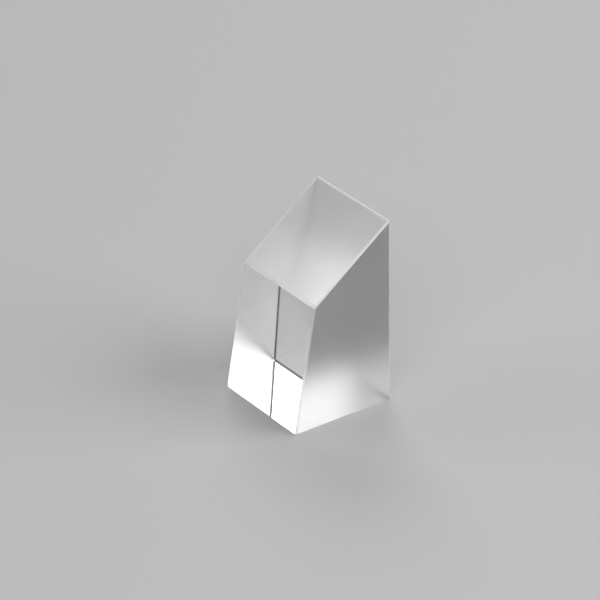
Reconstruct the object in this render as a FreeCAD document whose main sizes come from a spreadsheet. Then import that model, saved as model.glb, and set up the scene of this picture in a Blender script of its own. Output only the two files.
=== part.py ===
"""Four-sided dispersing prism: one block of clear optical glass, standing on its base face.

Frame: +Z up, +X from the narrow front face to the upright back face, +Y across the prism.
The origin is the middle of the base face. Sizes are in millimetres and degrees.
"""
import FreeCAD, Part
import os
import Sketcher

# The section's corners, in the X-Z plane, counted from the foot of the front face:
# front_foot, back_foot, back_top (the acute tip) and front_top (the obtuse corner).
SIZES = [
    ("base_length", 19.5, "base face, from the front foot to the back foot"),
    ("back_height", 34.0, "back face, from the back foot to the tip"),
    ("front_angle", 79.5, "between the base and the front face"),
    ("tip_angle", 53.5, "between the back face and the sloping top face"),
    ("prism_width", 20.0, "between the two end faces"),
    ("bevel", 0.3, "leg of the protective bevel ground on every edge"),
]


def make_sheet(doc):
    """The driving sizes, one named cell each."""
    sheet = doc.addObject("Spreadsheet::Sheet", "sizes")
    for row, (name, value, meaning) in enumerate(SIZES, start=1):
        sheet.set(f"A{row}", name)
        sheet.set(f"B{row}", str(value))
        sheet.set(f"C{row}", meaning)
        sheet.setAlias(f"B{row}", name)
    doc.recompute()
    return sheet


def origin_plane(body, role):
    """One of the body's own origin planes, found by its role."""
    return next(plane for plane in body.Origin.OriginFeatures if plane.Role == role)


def name_constraint(sketch, constraint, name, expression):
    """Adds a driving constraint with a name and binds it to the sheet."""
    index = sketch.addConstraint(constraint)
    sketch.renameConstraint(index, name)
    sketch.setExpression(f"Constraints.{name}", expression)


def sketch_section(body, sheet):
    """The prism's section: base, back, top and front, with the base centred on the origin."""
    sketch = body.newObject("Sketcher::SketchObject", "section")
    sketch.AttachmentSupport = [(origin_plane(body, "XZ_Plane"), "")]
    sketch.MapMode = "FlatFace"

    half_base = sheet.base_length / 2
    front_foot = FreeCAD.Vector(-half_base, 0, 0)
    back_foot = FreeCAD.Vector(half_base, 0, 0)
    back_top = FreeCAD.Vector(half_base, sheet.back_height, 0)
    front_top = FreeCAD.Vector(-half_base / 2, sheet.back_height / 2, 0)
    corners = [front_foot, back_foot, back_top, front_top]
    base, back, top, front = [
        sketch.addGeometry(Part.LineSegment(start, end), False)
        for start, end in zip(corners, corners[1:] + corners[:1])
    ]

    start_point, end_point = 1, 2
    sides = [base, back, top, front]
    for side, following in zip(sides, sides[1:] + sides[:1]):
        sketch.addConstraint(Sketcher.Constraint("Coincident", side, end_point, following, start_point))
    sketch.addConstraint(Sketcher.Constraint("Horizontal", base))
    sketch.addConstraint(Sketcher.Constraint("Vertical", back))
    origin_geometry, origin_point = -1, 1
    sketch.addConstraint(Sketcher.Constraint(
        "Symmetric", base, start_point, base, end_point, origin_geometry, origin_point))

    name_constraint(
        sketch, Sketcher.Constraint("Distance", base, sheet.base_length), "base_length", "sizes.base_length")
    name_constraint(
        sketch, Sketcher.Constraint("Distance", back, sheet.back_height), "back_height", "sizes.back_height")
    degree = FreeCAD.Units.Quantity("1 deg").getValueAs("rad").Value
    name_constraint(
        sketch,
        Sketcher.Constraint("Angle", base, start_point, front, end_point, sheet.front_angle * degree),
        "front_angle", "sizes.front_angle * 1 deg")
    name_constraint(
        sketch,
        Sketcher.Constraint("Angle", back, end_point, top, start_point, -sheet.tip_angle * degree),
        "tip_angle", "-sizes.tip_angle * 1 deg")
    return sketch


def make_prism(doc, sheet):
    """The glass block: the section carried across the width, then every edge bevelled."""
    body = doc.addObject("PartDesign::Body", "prism")
    body.Label = "prism"

    sketch = sketch_section(body, sheet)
    block = body.newObject("PartDesign::Pad", "block")
    block.Profile = sketch
    block.SideType = "Symmetric"
    block.setExpression("Length", "sizes.prism_width")
    doc.recompute()

    bevels = body.newObject("PartDesign::Chamfer", "edge_bevels")
    bevels.Base = (block, [])
    bevels.UseAllEdges = True
    bevels.ChamferType = "Equal distance"
    bevels.setExpression("Size", "sizes.bevel")
    body.Tip = bevels
    doc.recompute()
    return body


def check_document(doc, pieces):
    """Stops if any feature failed or any piece has no valid solid."""
    for item in doc.Objects:
        if "Invalid" in item.State or "Error" in item.State:
            raise RuntimeError(f"{item.Name} failed: {item.State}")
    for piece in pieces:
        if piece.Shape.isNull() or not piece.Shape.isValid():
            raise RuntimeError(f"{piece.Label} has no valid shape")
        print(f"{piece.Label}: {len(piece.Shape.Solids)} solid, {len(piece.Shape.Faces)} faces, "
              f"{piece.Shape.Volume:.1f} mm3")


def main():
    doc = FreeCAD.newDocument("dispersing_prism")
    sheet = make_sheet(doc)
    pieces = [make_prism(doc, sheet)]
    check_document(doc, pieces)

    os.makedirs("parts", exist_ok=True)
    for piece in pieces:
        piece.Shape.exportStep(f"parts/{piece.Label}.step")


main()
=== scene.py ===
"""Looks of the four-sided dispersing prism: clear glass with polished and ground faces on a pale floor.

Lengths are in metres in the part's frame: +Z up, +X from the narrow front face to the upright back
face, +Y across the prism, origin in the middle of the base face.
"""

import math

import bpy
from mathutils import Matrix, Vector

MM = 0.001

# Camera
CAMERA_AZIMUTH = math.radians(-35.11)
CAMERA_ELEVATION = math.radians(28.96)
CAMERA_ROLL = math.radians(-0.91)
CAMERA_DISTANCE = 600.7 * MM
CAMERA_AIM = Vector((-0.69, 0.93, 17.67)) * MM
FOCAL_LENGTH = 218.5
SENSOR_WIDTH = 36.0

# Glass: how each face points, and how large the grain of its finish is
GLASS_INDEX = 1.42
FRONT_LEAN = math.radians(10.5)
TOP_SLOPE = math.radians(53.5)
GRIND_GRAIN = 0.06 * MM
POLISH_PATCH = 4.0 * MM
NOISE_OCTAVES = 2.0

# A face is a main face if its normal agrees with that face's by this cosine. Any other face is a
# bevel, and belongs to the top or the base if its normal tilts up or down by this sine.
SAME_WAY = 0.999
TILTED = 0.3

# The top face's painted highlight, a whiter rim along the far edge and at the tip: where it starts and
# where it is full
FAR_HIGHLIGHT_RIM = (9.45 * MM, 9.65 * MM)
TIP_HIGHLIGHT_RIM = (33.62 * MM, 33.78 * MM)
HIGHLIGHT_RIM_CLEARNESS = 0.15

# Studio
FLOOR_SIZE = 3.0
FLOOR_GAP = 0.02 * MM
FLOOR_GREY = 0.5
FLOOR_ROUGHNESS = 0.9
LIGHT_DISTANCE = 1.0
WALL_LIGHT, CEILING_LIGHT = 0.63, 0.0
WALL_HEIGHT = 0.52


def view_axes(azimuth, elevation, roll):
    """Right, up and back axes of a camera that looks along -back, turned by roll about its own axis."""
    back = Vector((
        math.sin(azimuth) * math.cos(elevation),
        -math.cos(azimuth) * math.cos(elevation),
        math.sin(elevation),
    ))
    right = Vector((math.cos(azimuth), math.sin(azimuth), 0.0))
    up = back.cross(right)
    turned_right = right * math.cos(roll) + up * math.sin(roll)
    turned_up = up * math.cos(roll) - right * math.sin(roll)
    return turned_right, turned_up, back


def make_camera():
    """The photograph's viewpoint: a long lens, looking down on the narrow front face and the near end."""
    right, up, back = view_axes(CAMERA_AZIMUTH, CAMERA_ELEVATION, CAMERA_ROLL)
    data = bpy.data.cameras.new("camera")
    data.lens = FOCAL_LENGTH
    data.sensor_width = SENSOR_WIDTH
    camera = bpy.data.objects.new("camera", data)
    bpy.context.scene.collection.objects.link(camera)
    turn = Matrix((right, up, back)).transposed().to_4x4()
    camera.matrix_world = Matrix.Translation(CAMERA_AIM + back * CAMERA_DISTANCE) @ turn
    bpy.context.scene.camera = camera


def grey(value):
    return (value, value, value, 1.0)


def ramp(nodes, at_zero, at_one):
    """A node that goes from one value to the other as its own Value goes from 0 to 1."""
    node = nodes.new("ShaderNodeMapRange")
    node.inputs["To Min"].default_value = at_zero
    node.inputs["To Max"].default_value = at_one
    return node


def glass(name, tint, clearness, roughness, grain):
    """Glass whose roughness varies between two values with a noise of the given grain size."""
    material = bpy.data.materials.new(name)
    material.use_nodes = True
    nodes, links = material.node_tree.nodes, material.node_tree.links
    shader = nodes["Principled BSDF"]
    shader.inputs["Base Color"].default_value = grey(tint)
    shader.inputs["Transmission Weight"].default_value = clearness
    shader.inputs["IOR"].default_value = GLASS_INDEX

    place = nodes.new("ShaderNodeTexCoord")
    noise = nodes.new("ShaderNodeTexNoise")
    noise.inputs["Scale"].default_value = 1.0 / grain
    noise.inputs["Detail"].default_value = NOISE_OCTAVES
    links.new(place.outputs["Object"], noise.inputs["Vector"])

    spread = ramp(nodes, *roughness)
    links.new(noise.outputs["Fac"], spread.inputs["Value"])
    links.new(spread.outputs["Result"], shader.inputs["Roughness"])
    return material


def bevel_glass(name, roughness, outside, inside):
    """Ground bevel: it catches light from outside, and its inside, seen from within the glass, can be
    painted darker as painted shade.
    """
    material = glass(name, outside["Base Color"], 1.0, roughness, GRIND_GRAIN)
    nodes, links = material.node_tree.nodes, material.node_tree.links
    side = nodes.new("ShaderNodeNewGeometry")
    for socket in outside:
        shade = ramp(nodes, outside[socket], inside[socket])
        links.new(side.outputs["Backfacing"], shade.inputs["Value"])
        links.new(shade.outputs["Result"], nodes["Principled BSDF"].inputs[socket])
    return material


def ground_top_glass(tint, clearness, roughness):
    """Ground glass with a painted highlight: a thin whiter rim along the far edge and the tip."""
    material = glass("ground_top_glass", tint, clearness, roughness, GRIND_GRAIN)
    nodes, links = material.node_tree.nodes, material.node_tree.links
    place = nodes.new("ShaderNodeTexCoord")
    split = nodes.new("ShaderNodeSeparateXYZ")
    links.new(place.outputs["Object"], split.inputs["Vector"])
    rim = nodes.new("ShaderNodeMath")
    rim.operation = "MAXIMUM"
    for slot, (axis, (start, full)) in enumerate((("Y", FAR_HIGHLIGHT_RIM), ("Z", TIP_HIGHLIGHT_RIM))):
        edge = nodes.new("ShaderNodeMapRange")
        edge.inputs["From Min"].default_value = start
        edge.inputs["From Max"].default_value = full
        links.new(split.outputs[axis], edge.inputs["Value"])
        links.new(edge.outputs["Result"], rim.inputs[slot])
    # Painted highlight: the rim is made less clear, and so whiter
    white = ramp(nodes, clearness, HIGHLIGHT_RIM_CLEARNESS)
    links.new(rim.outputs["Value"], white.inputs["Value"])
    links.new(white.outputs["Result"], nodes["Principled BSDF"].inputs["Transmission Weight"])
    return material


def finish_prism(prism):
    """Gives each face its finish by the way it points; what points none of these ways is a bevel."""
    finishes = {
        "polished": glass("polished_glass", 0.98, 1.0, (0.0, 0.01), POLISH_PATCH),
        # The ends' grey tint darkens what shows through them: partly the light that ground glass scatters
        # away, partly painted shade
        "near_end": glass("near_end_glass", 0.48, 1.0, (0.7, 0.76), GRIND_GRAIN),
        "far_end": glass("far_end_glass", 0.56, 1.0, (0.46, 0.52), GRIND_GRAIN),
        "ground_top": ground_top_glass(1.0, 0.71, (0.41, 0.47)),
        "upright_bevel": bevel_glass(
            "upright_bevel_glass",
            roughness=(0.88, 0.96),
            outside={"Base Color": 0.8, "Transmission Weight": 0.85},
            # Painted shade: from inside the glass this bevel is nearly black, which draws the fine dark
            # lines at the upright edges
            inside={"Base Color": 0.09, "Transmission Weight": 1.0},
        ),
        "top_bevel": bevel_glass(
            "top_bevel_glass",
            roughness=(0.45, 0.55),
            outside={"Base Color": 0.95, "Transmission Weight": 0.5},
            inside={"Base Color": 0.95, "Transmission Weight": 1.0},
        ),
        "base_bevel": bevel_glass(
            "base_bevel_glass",
            roughness=(0.45, 0.55),
            outside={"Base Color": 0.9, "Transmission Weight": 0.8},
            # Painted shade: from inside the glass this bevel is nearly black, which draws a dark line
            # along the base edges
            inside={"Base Color": 0.11, "Transmission Weight": 1.0},
        ),
    }
    pointing = {
        "polished": [
            Vector((0.0, 0.0, -1.0)),
            Vector((1.0, 0.0, 0.0)),
            Vector((-math.cos(FRONT_LEAN), 0.0, math.sin(FRONT_LEAN))),
        ],
        "near_end": [Vector((0.0, -1.0, 0.0))],
        "far_end": [Vector((0.0, 1.0, 0.0))],
        "ground_top": [Vector((-math.cos(TOP_SLOPE), 0.0, math.sin(TOP_SLOPE)))],
    }
    mesh = prism.data
    mesh.materials.clear()
    for material in finishes.values():
        mesh.materials.append(material)
    order = list(finishes)
    for face in mesh.polygons:
        finish = "upright_bevel"
        if face.normal.z > TILTED:
            finish = "top_bevel"
        if face.normal.z < -TILTED:
            finish = "base_bevel"
        for name, normals in pointing.items():
            if any(face.normal.dot(normal) > SAME_WAY for normal in normals):
                finish = name
        face.material_index = order.index(finish)


def make_floor():
    """A plain pale floor, a hair below the base so that the polished base keeps its air gap."""
    half = FLOOR_SIZE / 2
    mesh = bpy.data.meshes.new("floor")
    corners = [(-half, -half), (half, -half), (half, half), (-half, half)]
    mesh.from_pydata([(x, y, -FLOOR_GAP) for x, y in corners], [], [(0, 1, 2, 3)])
    floor = bpy.data.objects.new("floor", mesh)
    bpy.context.scene.collection.objects.link(floor)
    material = bpy.data.materials.new("floor_paint")
    material.use_nodes = True
    shader = material.node_tree.nodes["Principled BSDF"]
    shader.inputs["Base Color"].default_value = grey(FLOOR_GREY)
    shader.inputs["Roughness"].default_value = FLOOR_ROUGHNESS
    shader.inputs["Specular IOR Level"].default_value = 0.0
    mesh.materials.append(material)


def soft_box(name, azimuth, elevation, half_width, half_height, radiance):
    """A soft light that faces the prism; its place and half sizes are degrees seen from the prism."""
    _, _, back = view_axes(math.radians(azimuth), math.radians(elevation), 0.0)
    data = bpy.data.lights.new(name, "AREA")
    data.shape = "RECTANGLE"
    data.size = 2.0 * LIGHT_DISTANCE * math.tan(math.radians(half_width))
    data.size_y = 2.0 * LIGHT_DISTANCE * math.tan(math.radians(half_height))
    data.energy = radiance * math.pi * data.size * data.size_y
    light = bpy.data.objects.new(name, data)
    bpy.context.scene.collection.objects.link(light)
    light.location = back * LIGHT_DISTANCE
    light.rotation_mode = "QUATERNION"
    light.rotation_quaternion = back.to_track_quat("Z", "Y")


def make_world():
    """Pale studio walls all round that fade to a dark ceiling."""
    world = bpy.data.worlds.new("studio")
    world.use_nodes = True
    nodes, links = world.node_tree.nodes, world.node_tree.links
    place = nodes.new("ShaderNodeTexCoord")
    split = nodes.new("ShaderNodeSeparateXYZ")
    fade = ramp(nodes, WALL_LIGHT, CEILING_LIGHT)
    fade.interpolation_type = "SMOOTHSTEP"
    fade.inputs["From Max"].default_value = WALL_HEIGHT
    links.new(place.outputs["Generated"], split.inputs["Vector"])
    links.new(split.outputs["Z"], fade.inputs["Value"])
    links.new(fade.outputs["Result"], nodes["Background"].inputs["Strength"])
    nodes["Background"].inputs["Color"].default_value = grey(1.0)
    bpy.context.scene.world = world


def make_lights():
    """A wide front light, a high one over the camera, and two behind that shine through the glass."""
    soft_box(
        "front_light", azimuth=42.3, elevation=25.5,
        half_width=25.1, half_height=29.0, radiance=3.90)
    soft_box(
        "high_light", azimuth=-39.7, elevation=45.4,
        half_width=21.5, half_height=16.7, radiance=2.83)
    soft_box(
        "back_right_light", azimuth=148.1, elevation=38.3,
        half_width=13.6, half_height=13.2, radiance=5.10)
    soft_box(
        "back_left_light", azimuth=-132.2, elevation=29.1,
        half_width=16.2, half_height=11.9, radiance=2.24)


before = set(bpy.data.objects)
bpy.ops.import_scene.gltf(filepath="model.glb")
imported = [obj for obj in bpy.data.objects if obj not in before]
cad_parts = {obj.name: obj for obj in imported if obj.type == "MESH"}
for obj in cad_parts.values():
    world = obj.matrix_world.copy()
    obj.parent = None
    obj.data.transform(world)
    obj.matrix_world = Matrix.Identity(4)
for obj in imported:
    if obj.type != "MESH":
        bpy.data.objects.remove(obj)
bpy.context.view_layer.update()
bpy.context.scene.view_settings.view_transform = "Standard"
make_camera()
finish_prism(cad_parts["prism"])
make_floor()
make_world()
make_lights()
